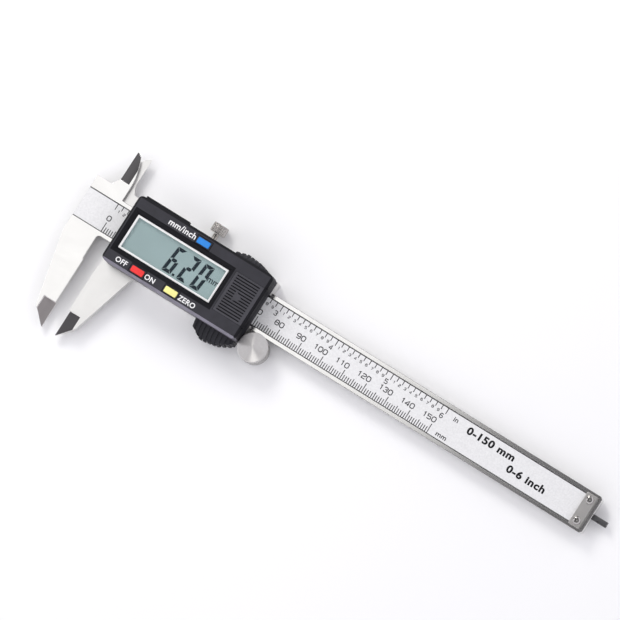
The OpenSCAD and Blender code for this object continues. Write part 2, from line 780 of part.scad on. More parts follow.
beam();
scale_strip();
scale_label();
end_stop_plate();
end_stop_screws();
slider_frame();
gib_strip();
gib_set_screws();
depth_rod();
depth_rod_pin();
lower_case();
front_cover();
housing_screws();
rear_label();
lcd_bezel();
lcd_window();
lcd_panel();
zebra_strips();
circuit_board();
sensor_board();
board_screws();
chip_cover();
dome_switches();
port_contacts();
battery_contact_plus();
battery_contact_minus();
battery_cell();
roller_axle();
roller_washer();
thumb_roller();
lock_pad();
lock_screw();
button_mm_inch();
button_on_off();
button_zero();
battery_cover();
port_cover();
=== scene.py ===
"""Looks of the digital caliper: ground steel, moulded plastic, ruler, display and studio."""

import json
import math

import bmesh
import bpy
from mathutils import Matrix, Vector


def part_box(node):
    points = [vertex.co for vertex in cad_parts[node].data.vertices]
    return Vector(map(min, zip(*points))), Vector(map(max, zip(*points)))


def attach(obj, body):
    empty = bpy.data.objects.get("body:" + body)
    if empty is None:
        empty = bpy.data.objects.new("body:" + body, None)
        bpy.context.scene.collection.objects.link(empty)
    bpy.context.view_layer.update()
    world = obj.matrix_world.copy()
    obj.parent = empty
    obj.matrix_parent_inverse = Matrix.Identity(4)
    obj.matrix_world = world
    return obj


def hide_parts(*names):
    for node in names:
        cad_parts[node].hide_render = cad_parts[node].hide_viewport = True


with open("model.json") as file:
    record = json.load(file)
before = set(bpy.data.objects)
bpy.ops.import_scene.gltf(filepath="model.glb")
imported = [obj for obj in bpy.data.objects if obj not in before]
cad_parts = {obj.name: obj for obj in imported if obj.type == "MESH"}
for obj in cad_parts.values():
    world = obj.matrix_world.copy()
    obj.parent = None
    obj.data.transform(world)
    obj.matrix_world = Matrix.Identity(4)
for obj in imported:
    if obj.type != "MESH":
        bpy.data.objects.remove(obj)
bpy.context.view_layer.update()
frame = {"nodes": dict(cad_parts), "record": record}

MM = 0.001
INCH = 25.4 * MM
LIFT = 0.012 * MM               # printed ink and painted shadow stand this far off their surface
SINK = 0.004 * MM               # and reach this far into it

mounts = {m["name"]: Vector(m["pos_m"]) for m in frame["record"]["mounts"]}
zero_x = mounts["outside_jaw_fixed"].x
label_low, label_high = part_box("scale_label")
window_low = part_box("lcd_window")[0]
case_low, case_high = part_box("front_cover")


# ---------- meshes ----------

def add_piece(name, bm, body, slot, *finishes, replaces=(), smooth_angle=30):
    """Turns a bmesh into a piece that rides on a body and stands for the given CAD nodes."""
    bmesh.ops.recalc_face_normals(bm, faces=bm.faces)
    mesh = bpy.data.meshes.new(name)
    bm.to_mesh(mesh)
    bm.free()
    mesh.shade_smooth()
    mesh.set_sharp_from_angle(angle=math.radians(smooth_angle))
    piece = bpy.data.objects.new(name, mesh)
    bpy.context.scene.collection.objects.link(piece)
    for finish in finishes:
        mesh.materials.append(finish)
    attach(piece, body)
    if replaces:
        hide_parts(*replaces)
    return piece


def clean_copy(node):
    """The CAD node's mesh with its triangles joined into whole faces."""
    bm = bmesh.new()
    bm.from_mesh(frame["nodes"][node].data)
    bmesh.ops.remove_doubles(bm, verts=bm.verts, dist=0.0005 * MM)
    bmesh.ops.dissolve_limit(bm, angle_limit=math.radians(0.4), verts=bm.verts, edges=bm.edges)
    return bm


def sharp_edges(bm):
    """The edges between faces that meet at a clear angle; shallow facets of a curve don't count."""
    limit = math.radians(28)
    return [e for e in bm.edges if len(e.link_faces) == 2 and e.calc_face_angle(0) > limit]


def rounded_piece(node, body, slot, width, *finishes, segments=2, pick=None):
    """A copy of a CAD node with rounded edges; pick(face) chooses a face's finish by number."""
    bm = clean_copy(node)
    bmesh.ops.bevel(bm, geom=sharp_edges(bm), offset=width * MM, segments=segments,
                    profile=0.5, affect="EDGES", clamp_overlap=True)
    if pick:
        bm.normal_update()
        for face in bm.faces:
            face.material_index = pick(face)
    piece = add_piece(node + "_rounded", bm, body, slot, *finishes, replaces=[node])
    weighted = piece.modifiers.new("weighted normals", "WEIGHTED_NORMAL")
    weighted.keep_sharp = True
    return piece


def lathe(bm, profile, segments, place, shape=None):
    """Adds a solid turned about +Z from (radius, height) pairs, then moved by place.

    shape(angle, radius, height) gives the new radius and height of a point.
    """
    rings = []
    for radius, height in profile:
        count = 1 if radius == 0 else segments
        ring = []
        for i in range(count):
            angle = 2 * math.pi * i / segments
            r, z = shape(angle, radius, height) if shape and radius else (radius, height)
            ring.append(bm.verts.new(place @ Vector((r * math.cos(angle), r * math.sin(angle), z))))
        rings.append(ring)
    for lower, upper in zip(rings, rings[1:]):
        for i in range(segments):
            j = (i + 1) % segments
            corners = [lower[i % len(lower)], lower[j % len(lower)],
                       upper[j % len(upper)], upper[i % len(upper)]]
            face = list(dict.fromkeys(corners))
            if len(face) > 2:
                bm.faces.new(face)


def steps(start, end, count):
    """Evenly spaced values from start to end, with both ends."""
    return [start + (end - start) * i / count for i in range(count + 1)]


def prism(bm, outline, low, high):
    """Adds an upright prism over a convex outline of (x, y) points."""
    bottom = [bm.verts.new((x, y, low)) for x, y in outline]
    top = [bm.verts.new((x, y, high)) for x, y in outline]
    bm.faces.new(bottom[::-1])
    bm.faces.new(top)
    for i in range(len(outline)):
        j = (i + 1) % len(outline)
        bm.faces.new((bottom[i], bottom[j], top[j], top[i]))


def ink_box(bm, x0, y0, x1, y1, surface):
    """Adds a flat rectangle on a surface: print, or painted shadow."""
    prism(bm, [(x0, y0), (x1, y0), (x1, y1), (x0, y1)], surface - SINK, surface + LIFT)


def ink_text(bm, words, x, y, height, surface, stretch=1.0, weight=0.0, spacing=1.0):
    """Adds printed words round x, with y at the middle of the capitals, which have this height."""
    capital = 0.70                  # a capital's share of the font's size
    curve = bpy.data.curves.new("words", "FONT")
    curve.body = words
    curve.size = height / capital
    curve.align_x = "CENTER"
    curve.align_y = "BOTTOM_BASELINE"
    curve.offset = weight
    curve.extrude = (LIFT + SINK) / 2
    curve.space_character = spacing
    curve.resolution_u = 4
    holder = bpy.data.objects.new("words", curve)
    bpy.context.scene.collection.objects.link(holder)
    bpy.context.view_layer.update()
    mesh = bpy.data.meshes.new_from_object(holder)
    middle = surface + (LIFT - SINK) / 2
    place = Matrix.Translation((x, y - height / 2, middle))
    mesh.transform(place @ Matrix.Diagonal((stretch, 1, 1, 1)))
    bm.from_mesh(mesh)
    bpy.data.objects.remove(holder)
    bpy.data.meshes.remove(mesh)


# ---------- materials ----------

class Finish:
    """A procedural material built round one Principled shader."""

    def __init__(self, name, color, roughness, metallic=0.0, specular=0.5, **sockets):
        self.material = bpy.data.materials.new(name)
        self.material.use_nodes = True
        self.tree = self.material.node_tree
        self.shader = self.tree.nodes["Principled BSDF"]
        self.color = (*color, 1.0)
        self.shader.inputs["Base Color"].default_value = self.color
        self.shader.inputs["Roughness"].default_value = roughness
        self.shader.inputs["Metallic"].default_value = metallic
        self.shader.inputs["Specular IOR Level"].default_value = specular
        for socket, value in sockets.items():
            self.shader.inputs[socket.replace("_", " ")].default_value = value
        self.place = self.node("ShaderNodeTexCoord").outputs["Object"]
        self.height = None

    def node(self, kind, **inputs):
        made = self.tree.nodes.new(kind)
        for socket, value in inputs.items():
            made.inputs[socket.replace("_", " ")].default_value = value
        return made

    def link(self, source, target):
        self.tree.links.new(source, target)

    def noise(self, scale, detail=3.0, stretch=(1, 1, 1), warp=0.0):
        """Noise with this many features a metre, stretched along the small axes of stretch."""
        mapping = self.node("ShaderNodeMapping", Scale=stretch)
        self.link(self.place, mapping.inputs["Vector"])
        texture = self.node("ShaderNodeTexNoise", Scale=scale, Detail=detail, Roughness=0.55,
                            Distortion=warp)
        self.link(mapping.outputs["Vector"], texture.inputs["Vector"])
        return texture.outputs["Fac"]

    def ramp(self, value, low, high):
        """Spreads noise, which mostly lies between 0.3 and 0.7, over low to high."""
        ranged = self.node("ShaderNodeMapRange", From_Min=0.3, From_Max=0.7, To_Min=low, To_Max=high)
        self.link(value, ranged.inputs["Value"])
        return ranged.outputs["Result"]

    def mottle(self, value, dark, light):
        """Colours the surface between two shades of the base colour."""
        mix = self.node("ShaderNodeMix")
        mix.data_type = "RGBA"
        factor, first, second, result = mix.inputs[0], mix.inputs[6], mix.inputs[7], mix.outputs[2]
        first.default_value = tuple(min(c * dark, 1) for c in self.color[:3]) + (1,)
        second.default_value = tuple(min(c * light, 1) for c in self.color[:3]) + (1,)
        self.link(self.ramp(value, 0, 1), factor)
        self.link(result, self.shader.inputs["Base Color"])

    def gloss(self, value, low, high):
        """Lets the roughness wander between low and high."""
        self.link(self.ramp(value, low, high), self.shader.inputs["Roughness"])

    def bump(self, value, depth, strength=1.0):
        """Adds relief of this depth in millimetres."""
        relief = self.node("ShaderNodeBump", Strength=strength, Distance=depth * MM)
        self.link(value, relief.inputs["Height"])
        if self.height:
            self.link(self.height, relief.inputs["Normal"])
        self.height = relief.outputs["Normal"]
        self.link(self.height, self.shader.inputs["Normal"])


def ground_steel(name, color, roughness, grain=(1, 1, 1), depth=0.0012, stains=0.95):
    """Steel ground in one direction: fine grain, a little unevenness and faint handling marks."""
    finish = Finish(name, color, roughness, metallic=1.0)
    lines = finish.noise(2600, detail=4, stretch=grain)
    marks = finish.noise(60, detail=5, warp=0.6)
    finish.mottle(marks, stains, 1.04)
    wide = finish.noise(500, detail=3, stretch=grain)
    finish.gloss(wide, roughness - 0.015, roughness + 0.025)
    finish.bump(lines, depth, 0.5)
    finish.bump(marks, 0.03, 0.08)
    return finish.material


def turned_steel(name, color, roughness, centre):
    """Steel faced on a lathe about Z: rings round the centre and a highlight that fans out."""
    pitch, depth = 0.2, 0.0015      # of the rings, in millimetres
    wave_turn = 20                  # the wave texture's radians a metre at a scale of 1
    finish = Finish(name, color, roughness, metallic=1.0, Anisotropic=0.92, Anisotropic_Rotation=0.25)
    tangent = finish.node("ShaderNodeTangent")
    tangent.direction_type = "RADIAL"
    tangent.axis = "Z"
    finish.link(tangent.outputs["Tangent"], finish.shader.inputs["Tangent"])
    mapping = finish.node("ShaderNodeMapping", Location=tuple(-c for c in centre))
    finish.link(finish.place, mapping.inputs["Vector"])
    rings = finish.node("ShaderNodeTexWave", Scale=2 * math.pi / (pitch * MM * wave_turn),
                        Distortion=0.4, Detail=2.0, Detail_Scale=40.0)
    rings.wave_type = "RINGS"
    rings.rings_direction = "Z"
    finish.link(mapping.outputs["Vector"], rings.inputs["Vector"])
    finish.bump(rings.outputs["Fac"], depth, 0.6)
    finish.mottle(finish.noise(900, detail=3), 0.95, 1.03)
    return finish.material


def moulded(name, color, roughness, grain=0.012, specular=0.35, wear=1.25):
    """Moulded plastic with a fine spark-eroded texture and slightly polished patches."""
    finish = Finish(name, color, roughness, specular=specular)
    finish.mottle(finish.noise(240, detail=4), 0.9, wear)
    finish.gloss(finish.noise(90, detail=4, warp=0.4), roughness - 0.07, roughness + 0.07)
    finish.bump(finish.noise(5200, detail=2), grain, 0.5)
    return finish.material


def printed_film(name, color, roughness, metallic):
    """Silver ruler film: a fine speckle and long faint waves."""
    finish = Finish(name, color, roughness, metallic=metallic, specular=0.2)
    finish.mottle(finish.noise(1500, detail=3), 0.93, 1.05)
    finish.gloss(finish.noise(1500, detail=2), roughness - 0.05, roughness + 0.08)
    finish.bump(finish.noise(2400, detail=2), 0.008, 0.4)
    return finish.material


def ink(name, color, roughness=0.5, specular=0.15):
    """Printing ink, a little uneven in tone."""
    finish = Finish(name, color, roughness, specular=specular)
    finish.mottle(finish.noise(6000, detail=2), 0.8, 1.2)
    return finish.material


def laminate(name, color):
    """Circuit board: a woven glass pattern under solder mask."""
    finish = Finish(name, color, 0.35)
    warp_threads = finish.noise(900, detail=1, stretch=(1, 0.1, 1))
    weft_threads = finish.noise(900, detail=1, stretch=(0.1, 1, 1))
    finish.mottle(warp_threads, 0.75, 1.3)
    finish.bump(weft_threads, 0.01, 0.5)
    return finish.material


def display_glass():
    """The display's grey-green reflector behind its glass."""
    finish = Finish("display", (0.31, 0.415, 0.415), 0.32, specular=0.4)
    finish.mottle(finish.noise(35, detail=2, stretch=(1, 1.6, 1)), 0.94, 1.08)
    finish.bump(finish.noise(3000, detail=1), 0.003, 0.3)
    return finish.material


def clear_window():
    """The clear window, which leaves the reading in sight."""
    finish = Finish("window", (0.10, 0.12, 0.12), 0.06, Alpha=0.05)
    finish.bump(finish.noise(120, detail=2), 0.01, 0.15)
    return finish.material


ALONG_X = (0.02, 1, 1)           # grain drawn out along one axis
ALONG_Y = (1, 0.02, 1)

beam_steel = ground_steel("beam steel", (0.80, 0.79, 0.775), 0.15, ALONG_X, depth=0.0004)
slider_steel = ground_steel("slider steel", (0.78, 0.77, 0.755), 0.32, ALONG_X)
# Lit and shaded copies of the steel for the ground facets: painted shade and painted light standing in
# for what each side reflects.
facet_painted_shade = ground_steel("facet painted shade", (0.072, 0.069, 0.071), 0.34, ALONG_Y, depth=0.003)
facet_painted_light = ground_steel("facet painted light", (0.60, 0.56, 0.55), 0.34, ALONG_Y, depth=0.003)
stop_steel = ground_steel("stop steel", (0.76, 0.74, 0.72), 0.30, ALONG_Y)
screw_steel = ground_steel("screw steel", (0.36, 0.35, 0.34), 0.22)
rod_steel = ground_steel("rod steel", (0.17, 0.17, 0.175), 0.36, ALONG_X)
grub_steel = ground_steel("grub steel", (0.16, 0.16, 0.17), 0.4)
pin_steel = ground_steel("pin steel", (0.55, 0.55, 0.56), 0.3)
bronze = ground_steel("bronze", (0.70, 0.48, 0.20), 0.35, ALONG_X)
nickel = ground_steel("nickel", (0.72, 0.71, 0.69), 0.22)
gold = ground_steel("gold", (0.83, 0.60, 0.18), 0.25)
film = printed_film("ruler film", (0.77, 0.77, 0.77), 0.5, 0.05)
rear_film = printed_film("rear film", (0.60, 0.61, 0.63), 0.38, 0.6)
strip = laminate("strip laminate", (0.16, 0.24, 0.10))
board = laminate("board laminate", (0.03, 0.16, 0.07))
cover_plastic = moulded("cover plastic", (0.022, 0.0215, 0.028), 0.40)
# The black plastic in painted light and shade: painted shade for sides, a painted highlight for the lower
# ledge, a painted reflection of the floor for the lower wall.
painted_shade_plastic = moulded("painted shade plastic", (0.006, 0.006, 0.008), 0.5, specular=0.12)
ledge_painted_highlight = moulded("ledge painted highlight", (0.17, 0.16, 0.20), 0.35, specular=0.6)
wall_painted_reflection = moulded("wall painted reflection", (0.060, 0.055, 0.072), 0.4, specular=0.5)
ribbed_plastic = moulded("ribbed plastic", (0.032, 0.031, 0.040), 0.34, specular=0.55)
case_plastic = moulded("case plastic", (0.010, 0.010, 0.014), 0.46, grain=0.018, specular=0.22)
bezel_plastic = moulded("bezel plastic", (0.86, 0.86, 0.85), 0.35, grain=0.004, wear=1.02)
rubber = moulded("connector rubber", (0.02, 0.02, 0.022), 0.7)
epoxy = moulded("epoxy", (0.008, 0.008, 0.009), 0.25, grain=0.03)
blue_plastic = moulded("blue button", (0.022, 0.22, 0.66), 0.36, grain=0.006, wear=1.12)
red_plastic = moulded("red button", (0.80, 0.035, 0.035), 0.36, grain=0.006, wear=1.1)
yellow_plastic = moulded("yellow button", (0.88, 0.83, 0.30), 0.36, grain=0.006, wear=1.06)
ruler_ink_and_gap_shade = ink("ruler ink and gap shade", (0.022, 0.022, 0.025))
bold_ink = ink("bold ink", (0.010, 0.010, 0.012))
white_ink = ink("white ink", (0.82, 0.82, 0.82))
digit_ink = ink("display segments", (0.012, 0.020, 0.028), 0.6, specular=0.05)
display = display_glass()
window = clear_window()


# ---------- steel ----------

def make_steel():
    """The beam and the slider's frame with their ground facets in painted light and shade, the stop plate
    and the rod.
    """
    steepest, flattest = 0.8, 0.985     # a facet's normal has its z between these
    smallest = (2 * MM) ** 2            # and a facet is larger than the faces of a rounded edge

    # Facets are sorted by side, 1 for +Y and 2 for -Y; each piece gives one side the steel in painted
    # shade and the other the steel in painted light.
    def facet_or_flat(face):
        if not steepest < face.normal.z < flattest or face.calc_area() < smallest:
            return 0
        return 1 if face.calc_center_median().y > 0 else 2

    rounded_piece("beam", "beam", "beam_steel", 0.12, beam_steel, facet_painted_shade, facet_painted_light,
                  pick=facet_or_flat)
    rounded_piece("slider_frame", "slider", "slider_steel", 0.12, slider_steel, facet_painted_light,
                  facet_painted_shade, pick=facet_or_flat)
    rounded_piece("end_stop_plate", "beam", "stop_steel", 0.12, stop_steel)
    rounded_piece("depth_rod", "slider", "rod_steel", 0.08, rod_steel)


def make_stop_screws():
    """Round-head screws with a cross recess."""
    low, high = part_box("end_stop_screws")
    plate_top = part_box("end_stop_plate")[1].z
    radius = (high.x - low.x) / 2
    head = 0.95 * MM
    slot_half, slot_reach, slot_depth = 0.26 * MM, 1.05 * MM, 0.55 * MM
    shank = 0.8 * MM
    upper_turn, lower_turn = math.radians(20), math.radians(65)     # as the screws were left
    bm = bmesh.new()
    for y in (low.y + radius, high.y - radius):
        place = Matrix.Translation(((low.x + high.x) / 2, y, plate_top))
        turn = upper_turn if y > 0 else lower_turn

        def recess(angle, r, z):
            if z <= 0:
                return r, z
            x, w = r * math.cos(angle + turn), r * math.sin(angle + turn)
            arm = min(max(abs(x), abs(w)) / slot_reach, 1)
            across = min(abs(x), abs(w)) / (slot_half * (1.15 - 0.5 * arm))
            inside = max(0.0, min(1.0, (1.25 - across) / 0.4)) * (1 if arm < 1 else 0)
            return r, z - slot_depth * inside * (1 - 0.45 * arm)

        dome = [(radius * math.sin(math.radians(a)), head * math.cos(math.radians(a)))
                for a in steps(90, 1, 44)]
        profile = [(0, low.z - plate_top), (shank, low.z - plate_top), (shank, 0), (radius, 0)]
        lathe(bm, profile + dome + [(0, head - slot_depth)], 96, place, recess)
    add_piece("stop_screw_heads", bm, "beam", "screw_steel", screw_steel,
              replaces=["end_stop_screws"], smooth_angle=40)


def knurled(teeth, pitch, depth, low, high):
    """Shape for lathe(): a diamond knurl on every ring between two heights."""
    flank = 1.7                     # steepness of the grooves' sides

    def groove(t):
        return abs(t - math.floor(t + 0.5)) * 2

    def shape(angle, radius, height):
        if not low <= height <= high:
            return radius, height
        turn = teeth * angle / (2 * math.pi)
        across = (height - low) / pitch
        relief = min(groove(turn + across), groove(turn - across))
        return radius - depth * (1 - min(relief * flank, 1)), height

    return shape


def make_roller():
    """The thumb roller: a hub, a knurled rim and a slightly dished face turned on a lathe."""
    low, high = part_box("thumb_roller")
    hub_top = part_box("roller_axle")[1].z
    centre = Vector(((low.x + high.x) / 2, (low.y + high.y) / 2, 0))
    radius = (high.x - low.x) / 2
    hub, bore = 5.68 * MM, 1.25 * MM
    disc_low, edge = 5.45 * MM, 0.32 * MM
    bore_top = hub_top + 0.2 * MM
    rim_low, rim_high = disc_low + edge, high.z - edge
    dish = 0.10 * MM
    rim = [(radius, z) for z in steps(rim_low, rim_high, 18)]
    corner = []
    for turn in (math.radians(a) for a in (30, 60, 90)):
        corner.append((radius - edge * (1 - math.cos(turn)), rim_high + edge * math.sin(turn)))
    face = []
    for r in steps(radius - 2 * edge, radius / 12, 11):
        face.append((r, high.z - dish * (1 - (r / radius) ** 2)))
    profile = [(0, bore_top), (bore, bore_top), (bore, low.z), (hub, low.z), (hub, disc_low),
               (radius - edge, disc_low)]
    knurl = knurled(54, 0.75 * MM, 0.2 * MM, rim_low, rim_high)
    bm = bmesh.new()
    lathe(bm, profile + rim + corner + face + [(0, high.z - dish)], 400, Matrix.Translation(centre),
          knurl)
    turned = turned_steel("roller face", (0.62, 0.605, 0.60), 0.40, (*centre[:2], high.z))
    rim_steel = ground_steel("knurled rim", (0.42, 0.41, 0.40), 0.26)
    for f in bm.faces:
        middle = f.calc_center_median() - centre
        f.material_index = 0 if middle.z > rim_high else 1
    add_piece("knurled_roller", bm, "thumb_roller", "roller_metal", turned, rim_steel,
              replaces=["thumb_roller"], smooth_angle=35)


def make_lock_screw():
    """The clamping screw: a threaded shank, a thin neck and a knurled head with a hollow end."""
    low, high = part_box("lock_screw")
    radius = (high.z - low.z) / 2
    axis_z = (high.z + low.z) / 2
    length = high.y - low.y
    head_l, neck, shank = 3.7 * MM, 0.5 * MM, 1.2 * MM
    head_low, edge = length - head_l, 0.3 * MM
    rim_low, rim_high = head_low + edge, length - edge
    thread, thread_depth = 0.5 * MM, 0.16 * MM
    hollow = 0.12 * MM
    knurl = knurled(26, 0.78 * MM, 0.24 * MM, rim_low, rim_high)
    middle = Matrix.Translation(((low.x + high.x) / 2, low.y, axis_z))
    place = middle @ Matrix.Rotation(-math.pi / 2, 4, "X")

    def knurl_and_thread(angle, r, z):
        if z < head_low - neck and r > shank * 0.9:
            turn = z / thread + angle / (2 * math.pi)
            return r - thread_depth * abs(turn - math.floor(turn) - 0.5) * 2, z
        return knurl(angle, r, z)

    profile = [(0, 0)] + [(shank, z) for z in steps(0.01 * MM, head_low - neck, 60)]
    profile += [(shank * 0.8, head_low - neck * 0.8), (shank * 0.8, head_low)]
    profile += [(radius - edge, head_low)]
    profile += [(radius, z) for z in steps(rim_low, rim_high, 20)]
    profile += [(radius - edge * 0.5, length - edge * 0.13), (radius - edge, length)]
    profile += [(radius * 0.5, length), (radius * 0.42, length - hollow), (0, length - hollow)]
    bm = bmesh.new()
    lathe(bm, profile, 280, place, knurl_and_thread)
    lock_steel = ground_steel("lock steel", (0.52, 0.50, 0.475), 0.24)
    add_piece("knurled_lock_screw", bm, "lock_screw", "lock_metal", lock_steel,
              replaces=["lock_screw"], smooth_angle=35)


# ---------- housing ----------

def make_cover():
    """The front cover: satin top, sides in painted shade, and along the lower side a ledge with a painted
    highlight and a wall with a painted reflection.
    """
    lower_side = case_low.y + 1.5 * MM

    # Finish numbers: 0 the top, 1 painted shade on the sides, 2 a painted highlight on the lower ledge, 3
    # a painted reflection on the lower wall.
    def top_side_ledge_or_wall(face):
        if face.normal.z > 0.98:
            return 0
        if face.normal.y > -0.5 or face.calc_center_median().y > lower_side:
            return 1
        return 2 if face.normal.z > 0.3 else 3

    rounded_piece("front_cover", "slider", "cover_black", 0.2, cover_plastic, painted_shade_plastic,
                  ledge_painted_highlight, wall_painted_reflection, pick=top_side_ledge_or_wall)


def around(low, high, reach):
    """The corners of a box's outline, moved outwards by reach."""
    return [(low.x - reach, low.y - reach), (high.x + reach, low.y - reach),
            (high.x + reach, high.y + reach), (low.x - reach, high.y + reach)]


def make_opening_rims():
    """Bands of painted shadow round the display and the buttons, each of its own width in millimetres."""
    gap = 0.12 * MM
    button_shadow = 0.35
    widths = {"lcd_bezel": 0.9, "button_mm_inch": button_shadow, "button_on_off": button_shadow,
              "button_zero": button_shadow}
    bm = bmesh.new()
    surface = case_high.z
    for node, width in widths.items():
        low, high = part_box(node)
        inner = around(low, high, gap)
        outer = around(low, high, gap + width * MM)
        for i in range(4):
            j = (i + 1) % 4
            prism(bm, [outer[i], outer[j], inner[j], inner[i]], surface - SINK, surface + LIFT)
    add_piece("opening_shadows", bm, "slider", "cover_black", painted_shade_plastic)


def make_housing():
    """The plastic pieces: cover, lower case, doors, bezel and buttons."""
    grip_top = case_low.y - 0.3 * MM
    groove_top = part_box("battery_cover")[1].z - 0.12 * MM

    # Faces of the lower case's lower wall get the plastic with a painted reflection.
    def on_lower_wall(face):
        return 1 if face.normal.y < -0.7 and face.calc_center_median().y > grip_top else 0

    # Faces down in the battery cover's grooves get painted shade.
    def in_groove(face):
        return 1 if face.calc_center_median().z < groove_top else 0

    make_cover()
    make_opening_rims()
    rounded_piece("lower_case", "slider", "case_black", 0.10, case_plastic, wall_painted_reflection,
                  pick=on_lower_wall)
    rounded_piece("battery_cover", "battery_cover", "case_black", 0.07, ribbed_plastic,
                  painted_shade_plastic, pick=in_groove)
    rounded_piece("port_cover", "port_cover", "case_black", 0.14, case_plastic)
    rounded_piece("lcd_bezel", "slider", "bezel_white", 0.07, bezel_plastic)
    rounded_piece("button_mm_inch", "button_mm_inch", "button_blue", 0.2, blue_plastic, segments=3)
    rounded_piece("button_on_off", "button_on_off", "button_red", 0.2, red_plastic, segments=3)
    rounded_piece("button_zero", "button_zero", "button_yellow", 0.2, yellow_plastic, segments=3)


def case_point(x, y):
    """A point on the housing's front, in millimetres from the display window's lower left corner."""
    return window_low.x + x * MM, window_low.y + y * MM


def make_case_lettering():
    """White words beside the buttons: (words, x, y, height of a capital), in millimetres."""
    height, unit_height = 2.0, 2.4
    lines = [("mm/inch", 17.2, 18.0, unit_height), ("OFF", 3.7, -4.8, height),
             ("ON", 16.8, -4.8, height), ("ZERO", 33.9, -4.9, height)]
    bm = bmesh.new()
    for words, x, y, capital in lines:
        px, py = case_point(x, y)
        ink_text(bm, words, px, py, capital * MM, case_high.z, weight=0.06 * MM, spacing=1.05)
    add_piece("button_lettering", bm, "slider", "bezel_white", white_ink)


# ---------- ruler ----------

CM_TICK = 4.0 * MM
CUT = 0.24                          # corner cut of a squared numeral, as a share of its width
TALL_CUT = 0.2                      # and of its height
STROKES = {
    "0": [[(CUT, 0), (1 - CUT, 0), (1, TALL_CUT), (1, 1 - TALL_CUT), (1 - CUT, 1), (CUT, 1),
           (0, 1 - TALL_CUT), (0, TALL_CUT), (CUT, 0)]],
    "1": [[(0.25, 0.8), (0.6, 1), (0.6, 0)]],
    "2": [[(0, 0.82), (CUT, 1), (1 - CUT, 1), (1, 1 - TALL_CUT), (1, 0.66), (1 - CUT, 0.52),
           (CUT, 0.46), (0, 0.3), (0, 0), (1, 0)]],
    "3": [[(0, 0.84), (CUT, 1), (1 - CUT, 1), (1, 1 - TALL_CUT), (1, 0.68), (1 - CUT, 0.52),
           (1, 0.36), (1, TALL_CUT), (1 - CUT, 0), (CUT, 0), (0, 0.16)], [(0.35, 0.52), (1 - CUT, 0.52)]],
    "4": [[(0.78, 0), (0.78, 1), (0, 0.32), (0, 0.26), (1, 0.26)]],
    "5": [[(1, 1), (0, 1), (0, 0.58), (1 - CUT, 0.58), (1, 0.42), (1, TALL_CUT), (1 - CUT, 0),
           (CUT, 0), (0, 0.16)]],
    "6": [[(0.95, 0.9), (1 - CUT, 1), (CUT, 1), (0, 1 - TALL_CUT), (0, TALL_CUT), (CUT, 0), (1 - CUT, 0),
           (1, TALL_CUT), (1, 0.4), (1 - CUT, 0.56), (0, 0.56)]],
    "7": [[(0, 1), (1, 1), (1, 0.9), (0.4, 0)]],
    "8": [[(CUT, 0), (1 - CUT, 0), (1, TALL_CUT), (1, 1 - TALL_CUT), (1 - CUT, 1), (CUT, 1),
           (0, 1 - TALL_CUT), (0, TALL_CUT), (CUT, 0)], [(0, 0.52), (1, 0.52)]],
    "9": [[(0.05, 0.1), (CUT, 0), (1 - CUT, 0), (1, TALL_CUT), (1, 1 - TALL_CUT), (1 - CUT, 1), (CUT, 1),
           (0, 1 - TALL_CUT), (0, 0.6), (CUT, 0.44), (1, 0.44)]],
}


def ribbon(bm, points, width, surface):
    """Adds an ink line of this width through the points."""
    sides = []
    closed = points[0] == points[-1]
    for i, point in enumerate(points):
        here = Vector(point)
        before = points[i - 1] if i else (points[-2] if closed else None)
        after = points[i + 1] if i + 1 < len(points) else (points[1] if closed else None)
        ways = []
        if before:
            ways.append((here - Vector(before)).normalized())
        if after:
            ways.append((Vector(after) - here).normalized())
        way = sum(ways, Vector((0, 0))).normalized()
        reach = width / 2 / max(way.dot(ways[0]), 0.5)
        across = Vector((-way.y, way.x)) * reach
        sides.append((here + across, here - across))
    for (a, b), (c, d) in zip(sides, sides[1:]):
        prism(bm, [b, d, c, a], surface - SINK, surface + LIFT)


def ink_number(bm, digits, x, y, height, width, surface, stroke, align="CENTER"):
    """Adds squared numerals with x at their middle or right end and y at half their height."""
    gap = 0.36 * width
    length = len(digits) * (width + gap) - gap
    left = x - length / 2 if align == "CENTER" else x - length
    for i, digit in enumerate(digits):
        for line in STROKES[digit]:
            start = left + i * (width + gap)
            points = [(start + u * width, y + (v - 0.5) * height) for u, v in line]
            ribbon(bm, points, stroke, surface)


def make_ruler_ticks():
    """Millimetres along the lower edge, tenths of an inch along the upper one, and painted shadow lines
    along the label's edges, where it meets the rails.
    """
    surface = label_high.z
    low_y, high_y = label_low.y, label_high.y
    tick_w, gap_shadow_w = 0.33 * MM, 0.2 * MM
    margin = 0.02 * MM
    ticks = bmesh.new()
    for i in range(151):
        reach = (CM_TICK if i % 10 == 0 else 2.9 * MM if i % 5 == 0 else 2.3 * MM)
        x = zero_x + i * MM
        ink_box(ticks, x - tick_w / 2, low_y + margin, x + tick_w / 2, low_y + reach, surface)
    for i in range(61):
        reach = (2.6 if i % 10 == 0 else 1.9) * MM
        x = zero_x + i * INCH / 10
        ink_box(ticks, x - tick_w / 2, high_y - reach, x + tick_w / 2, high_y - margin, surface)
    # Painted shadow of the gaps between the label and the rails, drawn in the ruler's ink.
    left, right = label_low.x + margin, label_high.x - margin
    ink_box(ticks, left, high_y - margin - gap_shadow_w, right, high_y - margin, surface)
    ink_box(ticks, left, low_y + margin, right, low_y + margin + gap_shadow_w * 0.6, surface)
    add_piece("ruler_ticks_and_gap_shadows", ticks, "beam", "label_film", ruler_ink_and_gap_shade)


